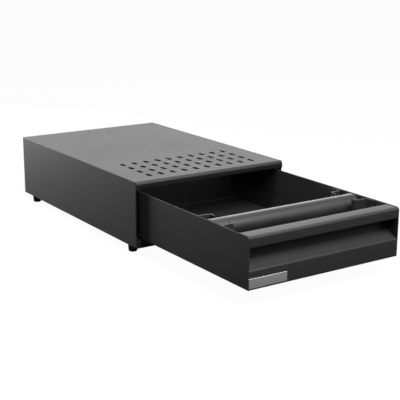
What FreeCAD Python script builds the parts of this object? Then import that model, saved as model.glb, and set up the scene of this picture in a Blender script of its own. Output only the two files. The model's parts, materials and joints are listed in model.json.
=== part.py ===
import FreeCAD, Part
import os
import re
import Sketcher

# Knock box drawer: a low sheet metal housing that stands under a coffee machine,
# and a drawer in it with a rubber covered bar for knocking out used grounds.
# Millimetres. X runs across, Y from front to back, Z up. The drawer stands open by
# drawer_out, and the origin is under the middle of the whole, on the counter.

SIZES = {
    # housing, one folded sheet rolled over above the opening
    "housing_width": 255,
    "housing_depth": 380,
    "housing_height": 95.4,
    "housing_sheet": 1.5,
    "front_roll": 5,
    "top_edge_round": 2,
    "bottom_edge_round": 1.2,
    "top_lip": 10.4,
    "side_set_back": 3,
    "seam": 0.3,
    # slots in the top
    "slot_width": 4.5,
    "slot_length": 12,
    "slot_pitch_across": 19.9,
    "slot_pitch_back": 24.8,
    "slots_across": 10,
    "slots_back": 4,
    "first_slot_back": 30.3,
    # floor tray and rear panel
    "floor_lip": 13.4,
    "floor_flange": 11,
    "fold_round": 2,
    "rear_flange": 12,
    # rubber feet pushed into the floor
    "foot_height": 9.6,
    "foot_top": 14,
    "foot_bottom": 12.5,
    "foot_edge_round": 1.5,
    "foot_stem": 4.8,
    "foot_barb": 6,
    "foot_barb_height": 3,
    "foot_hole": 5,
    "foot_side_clear": 0.5,
    "foot_from_front": 24,
    "foot_from_rear": 33.5,
    # guide channels on the side walls, with a plastic strip under the drawer
    "guide_sheet": 1.2,
    "guide_low_flange": 18,
    "guide_top_flange": 8,
    "guide_round": 2,
    "guide_from_front": 8,
    "guide_end_gap": 3,
    "guide_headroom": 1.5,
    "glide_thick": 1.5,
    "glide_wide": 10,
    "glide_inset": 5,
    "glide_gap": 0.1,
    # rubber buffers that stop the closed drawer
    "buffer_height": 10,
    "buffer_wide": 14,
    "buffer_dome": 2,
    "buffer_apart": 160,
    "buffer_level": 32,
    "stop_gap": 0.4,
    # drawer
    "drawer_out": 251,
    "drawer_sheet": 1.5,
    "drawer_side_gap": 4.3,
    "drawer_lip_gap": 0.8,
    "drawer_top_gap": 3.8,
    "side_corner_round": 6,
    "back_flange": 12,
    # drawer front, one folded sheet with a finger recess
    "grip_depth": 22.3,
    "grip_band": 14.6,
    "grip_round": 6,
    "grip_hem": 6,
    "lower_band": 24.6,
    "slope_rise": 9,
    "slope_rear_round": 4,
    "slope_front_round": 3,
    "front_flange": 16,
    # bare plate on the lower left of the front
    "badge_wide": 57.6,
    "badge_high": 12.4,
    "badge_sheet": 0.8,
    "badge_from_side": 1,
    "badge_level": 2.6,
    "badge_corner": 0.8,
    # knock bar and the cradles that it lies in
    "bar_diameter": 29,
    "bar_end_round": 1.5,
    "bar_end_gap": 1,
    "rod_diameter": 16,
    "rod_chamfer": 1,
    "bar_from_front": 86,
    "bar_below_top": 14.2,
    "notch_gap": 0.4,
    "notch_room": 3.2,
    "cradle_sheet": 2,
    "cradle_reach": 20.2,
    "cradle_before_bar": 26.5,
    "cradle_behind_bar": 24.4,
    "cradle_splay": 2.2,
    "cradle_high": 40,
    "cradle_below_top": 0.4,
    "cradle_tab": 13,
    "cradle_round": 2.5,
}

DERIVED = {
    "wall_inside": "housing_width / 2 - housing_sheet",
    "rear_face": "housing_depth - housing_sheet",
    "foot_from_side": "max(foot_top / 2; 2 * housing_sheet + foot_barb / 2 + foot_side_clear)",
    "drawer_level": "floor_lip + drawer_lip_gap",
    "drawer_height": "housing_height - top_lip - drawer_top_gap - drawer_level",
    "drawer_half": "wall_inside - drawer_side_gap",
    "drawer_inside": "drawer_half - drawer_sheet",
    "drawer_length": "rear_face - buffer_height - stop_gap",
    "guide_bottom": "drawer_level - glide_gap - glide_thick - guide_sheet",
    "guide_top": "drawer_level + drawer_height + guide_headroom + guide_sheet",
    "guide_length": "housing_depth - rear_flange - guide_end_gap - guide_from_front",
    "glide_inner": "wall_inside - guide_low_flange + seam",
    "slope_tan": "slope_rise / (grip_depth - drawer_sheet)",
    "slope_drop": "drawer_sheet * sqrt(1 + slope_tan ^ 2)",
    "bar_level": "drawer_height - bar_below_top",
    "cradle_lean": "cradle_splay / (cradle_reach - cradle_sheet)",
    "cradle_step": "cradle_sheet * (sqrt(1 + cradle_lean ^ 2) - cradle_lean)",
    "housing_y": "(drawer_out + badge_sheet - housing_depth) / 2",
    "drawer_y": "housing_y - drawer_out",
    "drawer_z": "foot_height + drawer_level",
}

# each view of a sketch: the plane it lies on, and whether a pad has to be reversed to
# grow towards the rear, the right or the top
VIEWS = {"plan": ("XY_Plane", False), "front": ("XZ_Plane", True), "side": ("YZ_Plane", False)}

SAME = 0.01

doc = FreeCAD.newDocument("KnockBoxDrawer")
sheet = doc.addObject("Spreadsheet::Sheet", "Sizes")
derived = doc.addObject("App::VarSet", "Derived")


def bound(text):
    """The expression of a text in which sizes and derived values stand by their plain names."""
    def prefix(match):
        word = match.group(0)
        if word in SIZES:
            return "Sizes." + word
        return "Derived." + word if word in DERIVED else word
    return re.sub(r"[A-Za-z_]+", prefix, text)


def number(text):
    """What an expression comes to with the sizes as they are."""
    return float(sheet.evalExpression(bound(text)))


def fill_sheet():
    """Every driving size in a cell of its own, and every derived value bound to them."""
    for row, (name, size) in enumerate(SIZES.items(), 1):
        sheet.set(f"A{row}", name)
        sheet.set(f"B{row}", str(size))
        sheet.setAlias(f"B{row}", name)
    doc.recompute()
    for name, text in DERIVED.items():
        derived.addProperty("App::PropertyFloat", name)
        derived.setExpression(name, bound(text))
        doc.recompute()


def new_body(label, x="0", y="0", z="0"):
    """An empty body placed by expressions."""
    body = doc.addObject("PartDesign::Body", label)
    for axis, text in (("x", x), ("y", y), ("z", z)):
        body.setExpression(f"Placement.Base.{axis}", bound(text))
    return body


def housing_body(label):
    """A body measured from the housing's front plane and underside."""
    return new_body(label, y="housing_y", z="foot_height")


def drawer_body(label):
    """A body measured from the drawer's front plane and underside."""
    return new_body(label, y="drawer_y", z="drawer_z")


def new_sketch(body, view, place="0"):
    """A sketch across a view, at a distance to the rear, the right or the top of the origin."""
    role, backward = VIEWS[view]
    sketch = body.newObject("Sketcher::SketchObject", "Sketch")
    planes = [plane for plane in body.Origin.OriginFeatures if plane.Role == role]
    sketch.AttachmentSupport = [(planes[0], "")]
    sketch.MapMode = "FlatFace"
    sketch.setExpression("AttachmentOffset.Base.z", bound(f"-({place})" if backward else place))
    return sketch


def fix(sketch, kind, text, *geometry):
    """A dimension of the sketch, bound to an expression."""
    index = sketch.addConstraint(Sketcher.Constraint(kind, *geometry, number(text)))
    sketch.setExpression(f"Constraints[{index}]", bound(text))


def fix_point(sketch, geometry, end, x, y):
    """Both coordinates of one point of the sketch."""
    fix(sketch, "DistanceX", x, -1, 1, geometry, end)
    fix(sketch, "DistanceY", y, -1, 1, geometry, end)


def outline(sketch, points):
    """A closed outline of straight lines through points given as expressions."""
    corners = [FreeCAD.Vector(number(x), number(y), 0) for x, y in points]
    ends = corners[1:] + corners[:1]
    first = len(sketch.Geometry)
    sketch.addGeometry([Part.LineSegment(a, b) for a, b in zip(corners, ends)], False)
    for n, (x, y) in enumerate(points):
        following = (n + 1) % len(points)
        sketch.addConstraint(Sketcher.Constraint("Coincident", first + n, 2, first + following, 1))
        fix_point(sketch, first + n, 1, x, y)
    return sketch


def box_outline(sketch, left, right, low, high):
    """A rectangle between two places across and two places up."""
    return outline(sketch, [(left, low), (right, low), (right, high), (left, high)])


def circle(sketch, x, y, diameter):
    """A circle about a point."""
    centre = FreeCAD.Vector(number(x), number(y), 0)
    sketch.addGeometry(Part.Circle(centre, FreeCAD.Vector(0, 0, 1), number(diameter) / 2), False)
    index = len(sketch.Geometry) - 1
    fix_point(sketch, index, 3, x, y)
    fix(sketch, "Diameter", diameter, index)
    return sketch


def round_slot(sketch, x, low, high, width):
    """An upright slot with half round ends about two centres, low and high."""
    radius = number(width) / 2
    up = FreeCAD.Vector(0, 0, 1)
    ends = [FreeCAD.Vector(number(x), number(y), 0) for y in (low, high)]
    turn = [(3.14159265, 6.2831853), (0, 3.14159265)]
    arcs = [Part.ArcOfCircle(Part.Circle(c, up, radius), *a) for c, a in zip(ends, turn)]
    aside = FreeCAD.Vector(radius, 0, 0)
    lines = [Part.LineSegment(ends[0] + aside, ends[1] + aside)]
    lines.append(Part.LineSegment(ends[1] - aside, ends[0] - aside))
    sketch.addGeometry(arcs + lines, False)
    for joint in ((0, 2, 2, 1), (2, 2, 1, 1), (1, 2, 3, 1), (3, 2, 0, 1)):
        sketch.addConstraint(Sketcher.Constraint("Tangent", *joint))
    fix_point(sketch, 0, 3, x, low)
    fix_point(sketch, 1, 3, x, high)
    sketch.addConstraint(Sketcher.Constraint("Equal", 0, 1))
    fix(sketch, "Diameter", width, 0)
    return sketch


def finish_feature(body, feature):
    """The feature worked out and made the body's end."""
    body.Tip = feature
    doc.recompute()
    if feature.Shape.isNull() or not feature.Shape.isValid():
        raise RuntimeError(f"{body.Label}: {feature.Label} has no valid shape")
    return feature


def pad(body, sketch, length):
    """Material from the sketch towards the rear, the right or the top."""
    feature = body.newObject("PartDesign::Pad", "Pad")
    feature.Profile = sketch
    feature.Reversed = sketch.AttachmentSupport[0][0].Role == "XZ_Plane"
    feature.setExpression("Length", bound(length))
    return finish_feature(body, feature)


def pad_both_ways(body, sketch, length):
    """Material to both sides of the sketch."""
    feature = body.newObject("PartDesign::Pad", "Pad")
    feature.Profile = sketch
    feature.SideType = "Symmetric"
    feature.setExpression("Length", bound(length))
    return finish_feature(body, feature)


def cut(body, sketch, length):
    """A pocket from the sketch towards the rear, the right or the top, which has to remove something."""
    before = body.Tip.Shape.Volume
    feature = body.newObject("PartDesign::Pocket", "Pocket")
    feature.Profile = sketch
    feature.Reversed = sketch.AttachmentSupport[0][0].Role != "XZ_Plane"
    feature.setExpression("Length", bound(length))
    finish_feature(body, feature)
    if feature.Shape.Volume > before - SAME:
        raise RuntimeError(f"{body.Label}: a pocket removes nothing")
    return feature


def revolve(body, sketch, axis):
    """A full turn of the sketch about one of its own axes."""
    feature = body.newObject("PartDesign::Revolution", "Revolution")
    feature.Profile = sketch
    feature.ReferenceAxis = (sketch, [axis])
    feature.Angle = 360
    return finish_feature(body, feature)


def edges_on(shape, **places):
    """Names of the edges whose middle lies at the given places along x, y or z."""
    wanted = {axis: number(text) for axis, text in places.items()}
    names = []
    for index, edge in enumerate(shape.Edges, 1):
        middle = edge.valueAt((edge.FirstParameter + edge.LastParameter) / 2)
        if all(abs(getattr(middle, axis) - at) < SAME for axis, at in wanted.items()):
            names.append(f"Edge{index}")
    return names


def faces_on(shape, **places):
    """Names of the flat faces whose centre lies at the given places along x, y or z."""
    wanted = {axis: number(text) for axis, text in places.items()}
    names = []
    for index, face in enumerate(shape.Faces, 1):
        centre = face.CenterOfMass
        if all(abs(getattr(centre, axis) - at) < SAME for axis, at in wanted.items()):
            names.append(f"Face{index}")
    return names


def round_off(body, edges, radius, kind="Fillet"):
    """A fillet or chamfer on named edges of the body as it stands."""
    if not edges:
        raise RuntimeError(f"{body.Label}: no edge to round")
    feature = body.newObject(f"PartDesign::{kind}", kind)
    feature.Base = (body.Tip if body.Tip != feature else feature.BaseFeature, edges)
    feature.setExpression("Radius" if kind == "Fillet" else "Size", bound(radius))
    return finish_feature(body, feature)


def bend(body, corners, inside, thickness, axes):
    """Sheet metal bends: each corner is rounded on its inner and its outer skin."""
    for inner, outer in corners:
        for place, radius in ((inner, inside), (outer, f"{inside} + {thickness}")):
            edges = edges_on(body.Tip.Shape, **dict(zip(axes, place)))
            round_off(body, edges, radius)


def hollow(body, open_faces, thickness):
    """The block turned into sheet of even thickness, open at the named faces."""
    feature = body.newObject("PartDesign::Thickness", "Thickness")
    feature.Base = (body.Tip if body.Tip != feature else feature.BaseFeature, open_faces)
    feature.setExpression("Value", bound(thickness))
    feature.Reversed = True
    return finish_feature(body, feature)


def housing_shell():
    """Top and sides in one sheet, rolled over above the opening, with the slot field."""
    body = housing_body("housing_shell")
    half = "housing_width / 2"
    plan = box_outline(new_sketch(body, "plan"), f"-{half}", half, "0", "housing_depth")
    pad(body, plan, "housing_height")
    round_off(body, edges_on(body.Tip.Shape, y="0", z="housing_height"), "front_roll")
    shape = body.Tip.Shape
    top = edges_on(shape, x=half, z="housing_height") + edges_on(shape, x=f"-{half}", z="housing_height")
    round_off(body, top, "top_edge_round")
    shape = body.Tip.Shape
    hollow(body, faces_on(shape, y="housing_depth") + faces_on(shape, z="0"), "housing_sheet")
    shape = body.Tip.Shape
    bottom = edges_on(shape, x=half, z="0") + edges_on(shape, x=f"-{half}", z="0")
    round_off(body, bottom, "bottom_edge_round")
    opening = box_outline(
        new_sketch(body, "side", "-housing_width"),
        "-seam", "side_set_back", "-seam", "housing_height - top_lip",
    )
    cut(body, opening, "2 * housing_width")
    slot_field(body)


def slot_field(body):
    """Rows of slots through the top."""
    slot = new_sketch(body, "plan", "housing_height - housing_sheet - seam")
    reach = "(slot_length - slot_width) / 2"
    first = "-slot_pitch_across * (slots_across - 1) / 2"
    round_slot(slot, first, f"first_slot_back - {reach}", f"first_slot_back + {reach}", "slot_width")
    pocket = cut(body, slot, "housing_sheet + 2 * seam")
    field = body.newObject("PartDesign::LinearPattern", "SlotField")
    field.Originals = [pocket]
    field.Direction = (slot, ["H_Axis"])
    field.Direction2 = (slot, ["V_Axis"])
    field.setExpression("Length", bound("slot_pitch_across * (slots_across - 1)"))
    field.setExpression("Length2", bound("slot_pitch_back * (slots_back - 1)"))
    field.setExpression("Occurrences", bound("slots_across"))
    field.setExpression("Occurrences2", bound("slots_back"))
    finish_feature(body, field)


def housing_floor():
    """Floor tray: a front lip as wide as the housing, side flanges and holes for the feet."""
    body = housing_body("housing_floor")
    sill = "side_set_back - seam"
    tray = box_outline(new_sketch(body, "front", sill), "-wall_inside", "wall_inside", "0", "floor_flange")
    pad(body, tray, f"housing_depth - ({sill})")
    clear = box_outline(
        new_sketch(body, "front", sill),
        "housing_sheet - wall_inside", "wall_inside - housing_sheet", "housing_sheet", "floor_flange + seam",
    )
    cut(body, clear, "housing_depth")
    tight = "(fold_round - housing_sheet)"
    folds = [
        ((f"{side}(wall_inside - housing_sheet)", "housing_sheet"), (f"{side}wall_inside", "0"))
        for side in ("-", "")
    ]
    bend(body, folds, tight, "housing_sheet", "xz")
    points = [("0", "0"), (sill, "0"), (sill, "housing_sheet"), ("housing_sheet", "housing_sheet")]
    points += [("housing_sheet", "floor_lip"), ("0", "floor_lip")]
    pad(body, outline(new_sketch(body, "side", "-housing_width / 2"), points), "housing_width")
    bend(body, [(("housing_sheet", "housing_sheet"), ("0", "0"))], tight, "housing_sheet", "yz")
    rear = box_outline(
        new_sketch(body, "side", "-housing_width"),
        "housing_depth - rear_flange - seam", "housing_depth + seam", "housing_sheet", "floor_lip",
    )
    cut(body, rear, "2 * housing_width")
    holes = new_sketch(body, "plan", "-seam")
    for x, y in foot_places():
        circle(holes, x, y, "foot_hole")
    cut(body, holes, "housing_sheet + 2 * seam")


def foot_places():
    """The four feet across and back from the housing's front plane, left before right."""
    out = "housing_width / 2 - foot_from_side"
    rear = "housing_depth - foot_from_rear"
    return [(f"{side} * ({out})", y) for y in ("foot_from_front", rear) for side in ("-1", "1")]


def rear_panel():
    """The back of the housing, a shallow pan with its flanges turned forward."""
    body = housing_body("rear_panel")
    face = new_sketch(body, "front", "housing_depth - rear_flange")
    box_outline(face, "-wall_inside", "wall_inside", "housing_sheet", "housing_height - housing_sheet")
    pad(body, face, "rear_flange")
    shape = body.Tip.Shape
    rim = edges_on(shape, y="housing_depth", x="wall_inside")
    rim += edges_on(shape, y="housing_depth", x="-wall_inside")
    rim += edges_on(shape, y="housing_depth", z="housing_height - housing_sheet")
    round_off(body, rim, "fold_round")
    hollow(body, faces_on(body.Tip.Shape, y="housing_depth - rear_flange"), "housing_sheet")
    shape = body.Tip.Shape
    high = "housing_height - housing_sheet"
    corners = edges_on(shape, x="wall_inside", z=high) + edges_on(shape, x="-wall_inside", z=high)
    round_off(body, corners, "max(housing_sheet / 2; top_edge_round - housing_sheet)")


def guide_channel(word, side):
    """C section on a side wall: the drawer runs on its low flange and under its top one."""
    body = housing_body(f"{word}_guide_channel")
    wall = "wall_inside"
    web = "wall_inside - guide_sheet"
    low_end = "wall_inside - guide_low_flange"
    top_end = "wall_inside - guide_top_flange"
    low = "guide_bottom + guide_sheet"
    high = "guide_top - guide_sheet"
    points = [(wall, "guide_bottom"), (wall, "guide_top"), (top_end, "guide_top"), (top_end, high)]
    points += [(web, high), (web, low), (low_end, low), (low_end, "guide_bottom")]
    profile = new_sketch(body, "front", "guide_from_front")
    outline(profile, [(f"{side} * ({x})", z) for x, z in points])
    pad(body, profile, "guide_length")
    corners = [((web, low), (wall, "guide_bottom")), ((web, high), (wall, "guide_top"))]
    corners = [[(f"{side} * ({x})", z) for x, z in pair] for pair in corners]
    bend(body, corners, "(guide_round - guide_sheet)", "guide_sheet", "xz")


def glide_strip(word, side):
    """Plastic strip on the low flange of a guide channel, eased at both ends."""
    body = housing_body(f"{word}_glide_strip")
    inner = f"{side} * glide_inner"
    outer = f"{side} * (glide_inner + glide_wide)"
    start = "guide_from_front + glide_inset"
    end = "guide_from_front + guide_length - glide_inset"
    plan = new_sketch(body, "plan", "guide_bottom + guide_sheet")
    box_outline(plan, inner, outer, start, end)
    pad(body, plan, "glide_thick")
    top = "guide_bottom + guide_sheet + glide_thick"
    shape = body.Tip.Shape
    eased = edges_on(shape, y=start, z=top) + edges_on(shape, y=end, z=top)
    round_off(body, eased, "glide_thick / 2", "Chamfer")


def foot(label, x, y):
    """Rubber foot, wider at the top, with a stem and a barb that snaps above the floor."""
    body = new_body(label, x, f"housing_y + {y}")
    floor_top = "foot_height + housing_sheet"
    tip = f"{floor_top} + foot_barb_height"
    points = [("0", "0"), ("foot_bottom / 2", "0"), ("foot_top / 2", "foot_height")]
    points += [("foot_stem / 2", "foot_height"), ("foot_stem / 2", floor_top)]
    points += [("foot_barb / 2", floor_top), ("foot_stem / 2", tip), ("0", tip)]
    profile = outline(new_sketch(body, "front"), points)
    revolve(body, profile, "V_Axis")
    bottom = [
        f"Edge{index}" for index, edge in enumerate(body.Tip.Shape.Edges, 1)
        if edge.BoundBox.ZMax < SAME and edge.BoundBox.XLength > number("foot_bottom") - SAME
    ]
    round_off(body, bottom, "foot_edge_round")


def closing_buffer(word, side):
    """Domed rubber buffer on the rear panel, which stops the closed drawer."""
    place = f"{side} * buffer_apart / 2"
    body = new_body(f"{word}_closing_buffer", place, "housing_y + rear_face", "foot_height + buffer_level")
    tip = "-buffer_height"
    rim = "buffer_dome - buffer_height"
    points = [("0", "0"), (tip, "0"), (tip, "buffer_wide / 2 - buffer_dome")]
    points += [(rim, "buffer_wide / 2"), ("0", "buffer_wide / 2")]
    revolve(body, outline(new_sketch(body, "side"), points), "H_Axis")


def drawer_tray():
    """Floor and both side plates in one folded sheet, with rounded upper front corners."""
    body = drawer_body("drawer_tray")
    points = [("-drawer_half", "0"), ("drawer_half", "0"), ("drawer_half", "drawer_height")]
    points += [("drawer_inside", "drawer_height"), ("drawer_inside", "drawer_sheet")]
    points += [("-drawer_inside", "drawer_sheet"), ("-drawer_inside", "drawer_height")]
    points += [("-drawer_half", "drawer_height")]
    pad(body, outline(new_sketch(body, "front"), points), "drawer_length")
    corners = [
        ((f"{side}drawer_inside", "drawer_sheet"), (f"{side}drawer_half", "0")) for side in ("-", "")
    ]
    bend(body, corners, "(fold_round - drawer_sheet)", "drawer_sheet", "xz")
    clear = new_sketch(body, "plan", "-seam")
    box_outline(clear, "-drawer_inside", "drawer_inside", "-seam", "front_flange")
    cut(body, clear, "fold_round + 2 * seam")
    tops = edges_on(body.Tip.Shape, y="0", z="drawer_height")
    round_off(body, tops, "side_corner_round")


def drawer_back():
    """Back plate with flanges turned forward on the floor and along the sides."""
    body = drawer_body("drawer_back")
    face = new_sketch(body, "front", "drawer_length - back_flange")
    box_outline(face, "-drawer_inside", "drawer_inside", "drawer_sheet", "drawer_height")
    pad(body, face, "back_flange")
    shape = body.Tip.Shape
    uprights = edges_on(shape, y="drawer_length", x="drawer_inside")
    round_off(body, uprights + edges_on(shape, y="drawer_length", x="-drawer_inside"), "fold_round")
    shape = body.Tip.Shape
    front = faces_on(shape, y="drawer_length - back_flange")
    hollow(body, front + faces_on(shape, z="drawer_height"), "drawer_sheet")
    shape = body.Tip.Shape
    low = edges_on(shape, x="drawer_inside", z="drawer_sheet")
    round_off(body, low + edges_on(shape, x="-drawer_inside", z="drawer_sheet"), "drawer_sheet / 2")


def drawer_front():
    """One folded sheet: hemmed band, grip lip, wall of the finger recess, slope, lower band."""
    body = drawer_body("drawer_front")
    recess = "grip_depth - drawer_sheet"
    under_lip = "drawer_height - drawer_sheet"
    band_end = "drawer_height - grip_band"
    slope_top = "lower_band + slope_rise"
    rear_under = "lower_band + slope_tan * grip_depth - slope_drop"
    front_under = "lower_band + slope_tan * drawer_sheet - slope_drop"
    fold_back = f"{band_end} + grip_hem"
    points = [
        ("0", band_end), ("0", "drawer_height"), ("grip_depth", "drawer_height"),
        ("grip_depth", rear_under), ("drawer_sheet", front_under), ("drawer_sheet", "drawer_sheet"),
        ("front_flange", "drawer_sheet"), ("front_flange", "0"), ("0", "0"), ("0", "lower_band"),
        (recess, slope_top), (recess, under_lip), ("drawer_sheet", under_lip),
        ("drawer_sheet", fold_back), ("2 * drawer_sheet", fold_back), ("2 * drawer_sheet", band_end),
    ]
    profile = outline(new_sketch(body, "side", "-drawer_inside"), points)
    pad(body, profile, "2 * drawer_inside")
    tight = "(fold_round - drawer_sheet)"
    sheet_metal = "drawer_sheet"
    bend(body, [(("drawer_sheet", under_lip), ("0", "drawer_height"))],
         "(grip_round - drawer_sheet)", sheet_metal, "yz")
    bend(body, [((recess, under_lip), ("grip_depth", "drawer_height")),
                (("drawer_sheet", "drawer_sheet"), ("0", "0"))], tight, sheet_metal, "yz")
    bend(body, [((recess, slope_top), ("grip_depth", rear_under))],
         "slope_rear_round", sheet_metal, "yz")
    bend(body, [(("drawer_sheet", front_under), ("0", "lower_band"))],
         "(slope_front_round - drawer_sheet)", sheet_metal, "yz")
    shape = body.Tip.Shape
    hem = edges_on(shape, y="0", z=band_end) + edges_on(shape, y="2 * drawer_sheet", z=band_end)
    round_off(body, hem, "drawer_sheet * 0.95")


def badge_plate():
    """Bare metal plate stuck to the lower band."""
    body = drawer_body("badge_plate")
    left = "-drawer_half + badge_from_side"
    right = f"{left} + badge_wide"
    face = new_sketch(body, "front", "-badge_sheet")
    box_outline(face, left, right, "badge_level", "badge_level + badge_high")
    pad(body, face, "badge_sheet")
    shape = body.Tip.Shape
    corners = [
        name for x in (left, right) for z in ("badge_level", "badge_level + badge_high")
        for name in edges_on(shape, x=x, z=z)
    ]
    round_off(body, corners, "badge_corner")


def bar_cradle(word, side):
    """Hat shaped sheet with splayed legs on a side plate, notched for the bar."""
    body = drawer_body(f"{word}_bar_cradle")
    wall = "drawer_inside"
    tab = "drawer_inside - cradle_sheet"
    web = "drawer_inside - cradle_reach"
    web_in = f"{web} + cradle_sheet"
    front = "bar_from_front - cradle_before_bar"
    rear = "bar_from_front + cradle_behind_bar"
    base_front = f"{front} - cradle_splay"
    base_rear = f"{rear} + cradle_splay"
    tab_front = f"{base_front} - cradle_tab"
    tab_rear = f"{base_rear} + cradle_tab"
    front_bends = [
        ((tab, base_front), (wall, f"{base_front} + cradle_step")),
        ((web_in, f"{front} + cradle_step"), (web, front)),
    ]
    rear_bends = [
        ((tab, base_rear), (wall, f"{base_rear} - cradle_step")),
        ((web_in, f"{rear} - cradle_step"), (web, rear)),
    ]
    points = [(tab, tab_front), (wall, tab_front), front_bends[0][1], front_bends[1][0]]
    points += [rear_bends[1][0], rear_bends[0][1], (wall, tab_rear), (tab, tab_rear)]
    points += [rear_bends[0][0], rear_bends[1][1], front_bends[1][1], front_bends[0][0]]
    low = "drawer_height - cradle_below_top - cradle_high"
    plan = new_sketch(body, "plan", low)
    outline(plan, [(f"{side} * ({x})", y) for x, y in points])
    pad(body, plan, "cradle_high")
    corners = [[(f"{side} * ({x})", y) for x, y in pair] for pair in front_bends + rear_bends]
    bend(body, corners, "cradle_round", "cradle_sheet", "xy")
    bar_notch(body, f"{side} * ({web_in}) - 2 * cradle_sheet")


def bar_notch(body, place):
    """The notch in a cradle's web, with some room before the bar and corners as round as the bar."""
    around = "(bar_diameter / 2 + notch_gap)"
    front = f"bar_from_front - {around} - notch_room"
    rear = f"bar_from_front + {around}"
    bottom = f"bar_level - {around}"
    notch = box_outline(new_sketch(body, "side", place), front, rear, bottom, "drawer_height")
    cut(body, notch, "4 * cradle_sheet")
    shape = body.Tip.Shape
    corners = edges_on(shape, y=front, z=bottom) + edges_on(shape, y=rear, z=bottom)
    round_off(body, corners, around)


def bar_body(label):
    """A body measured from the middle of the knock bar's axis."""
    return new_body(label, y="drawer_y + bar_from_front", z="drawer_z + bar_level")


def knock_bar():
    """Steel rod in a thick rubber sleeve, from side plate to side plate."""
    length = "2 * (drawer_inside - bar_end_gap)"
    rod = bar_body("knock_bar_rod")
    pad_both_ways(rod, circle(new_sketch(rod, "side"), "0", "0", "rod_diameter"), length)
    ends = [f"Edge{n}" for n, edge in enumerate(rod.Tip.Shape.Edges, 1) if edge.Closed]
    round_off(rod, ends, "rod_chamfer", "Chamfer")
    sleeve = bar_body("knock_bar_sleeve")
    section = circle(new_sketch(sleeve, "side"), "0", "0", "bar_diameter")
    pad_both_ways(sleeve, circle(section, "0", "0", "rod_diameter"), length)
    wide = number("bar_diameter") - SAME
    ends = [
        f"Edge{n}" for n, edge in enumerate(sleeve.Tip.Shape.Edges, 1)
        if edge.Closed and edge.BoundBox.ZLength > wide
    ]
    round_off(sleeve, ends, "bar_end_round")


def build():
    """Every piece of the housing, the drawer and the bar."""
    fill_sheet()
    housing_shell()
    housing_floor()
    rear_panel()
    names = ("foot_front_left", "foot_front_right", "foot_rear_left", "foot_rear_right")
    for name, (x, y) in zip(names, foot_places()):
        foot(name, x, y)
    for word, side in (("left", "-1"), ("right", "1")):
        guide_channel(word, side)
        glide_strip(word, side)
        closing_buffer(word, side)
        bar_cradle(word, side)
    drawer_tray()
    drawer_back()
    drawer_front()
    badge_plate()
    knock_bar()


def write_parts():
    """Every object checked, then each body written under its own name."""
    doc.recompute()
    for item in doc.Objects:
        if {"Invalid", "Error"} & set(item.State):
            raise RuntimeError(f"{item.Label} failed: {item.State}")
    os.makedirs("parts", exist_ok=True)
    for body in doc.findObjects("PartDesign::Body"):
        shape = body.Shape
        if shape.isNull() or not shape.isValid() or len(shape.Solids) != 1:
            raise RuntimeError(f"{body.Label} isn't one valid solid")
        shape.exportStep(f"parts/{body.Label}.step")
        print(f"{body.Label}: {shape.Volume:.0f} mm3")


build()
write_parts()
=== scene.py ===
import json
import math

import bmesh
import bpy
import numpy as np
from mathutils import Matrix, Vector


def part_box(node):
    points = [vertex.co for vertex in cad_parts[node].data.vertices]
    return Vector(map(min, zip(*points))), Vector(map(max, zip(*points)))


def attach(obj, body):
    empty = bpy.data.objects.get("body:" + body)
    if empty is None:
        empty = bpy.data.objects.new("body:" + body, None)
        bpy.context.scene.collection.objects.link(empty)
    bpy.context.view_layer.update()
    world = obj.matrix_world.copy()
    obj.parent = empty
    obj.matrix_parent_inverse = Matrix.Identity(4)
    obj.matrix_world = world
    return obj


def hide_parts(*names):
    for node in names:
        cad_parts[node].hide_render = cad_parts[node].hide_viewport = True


# knock box drawer: new sheets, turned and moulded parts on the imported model, in metres

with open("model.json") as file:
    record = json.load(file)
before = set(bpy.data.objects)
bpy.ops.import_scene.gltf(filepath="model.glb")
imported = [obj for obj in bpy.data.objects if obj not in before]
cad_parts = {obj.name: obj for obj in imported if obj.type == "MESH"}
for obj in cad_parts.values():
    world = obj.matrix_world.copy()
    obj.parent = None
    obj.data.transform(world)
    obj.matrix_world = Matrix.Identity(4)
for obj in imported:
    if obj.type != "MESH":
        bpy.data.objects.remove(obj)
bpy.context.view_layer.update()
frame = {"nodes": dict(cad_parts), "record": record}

MM = 0.001

# camera, as fitted to the photograph's outlines
IMAGE_WIDTH_PX = 400
SENSOR_MM = 36
CAMERA_AZIMUTH = -33.736
CAMERA_ELEVATION = 14.935
CAMERA_ROLL = 0.209
CAMERA_FOCAL_PX = 968.1
CAMERA_ASIDE = -18.59 * MM
CAMERA_UP = 50.80 * MM
CAMERA_DISTANCE = 1415.7 * MM

# glows of the dark room: each lies towards a direction, narrower the higher its tightness
GLOWS = [
    # towards, tightness, strength
    ((0.54, 0.82, 0.15), 12, 6.2),
    ((-1.0, 0.0, 0.25), 6, 0.15),
]

# soft boxes
LAMPS = [
    # name, place, aim, size, power in watts
    ("over_front_box", (0, -0.95, 1.15), (0, -0.2, 0.05), (0.8, 0.6), 25.0),
    ("over_right_box", (0.5, -0.75, 1.1), (0, -0.3, 0.05), (0.4, 0.3), 2.0),
    ("front_right_box", (0.9, -1.1, 0.7), (0, -0.2, 0.05), (0.6, 0.6), 2.6),
    ("rear_left_box", (-0.3, 1.2, 0.22), (-0.13, 0.25, 0.05), (0.25, 0.3), 16.0),
    ("over_drawer_box", (-0.10, -0.17, 0.6), (0.08, -0.17, 0.05), (0.15, 0.15), 2.5),
]

# floor and sky: how bright they are to the camera and to rays that the pieces mirror
FLOOR_REACH = 6.0
FLOOR_TONE = 0.04
FLOOR_ROUGHNESS = 0.9
FLOOR_LIFT = 0.96
FLOOR_MIRRORED = 0.05
SKY_LIFT = 1.0
SKY_MIRRORED = 0.12

# meshes and sheets in general
SMOOTH_ANGLE = math.radians(30)
SAME_POINT = 0.001 * MM
STEP = 0.02 * MM
SHEET = 1.5 * MM
RIM = 0.15 * MM
FOLD_ROUND = 2 * MM

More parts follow.
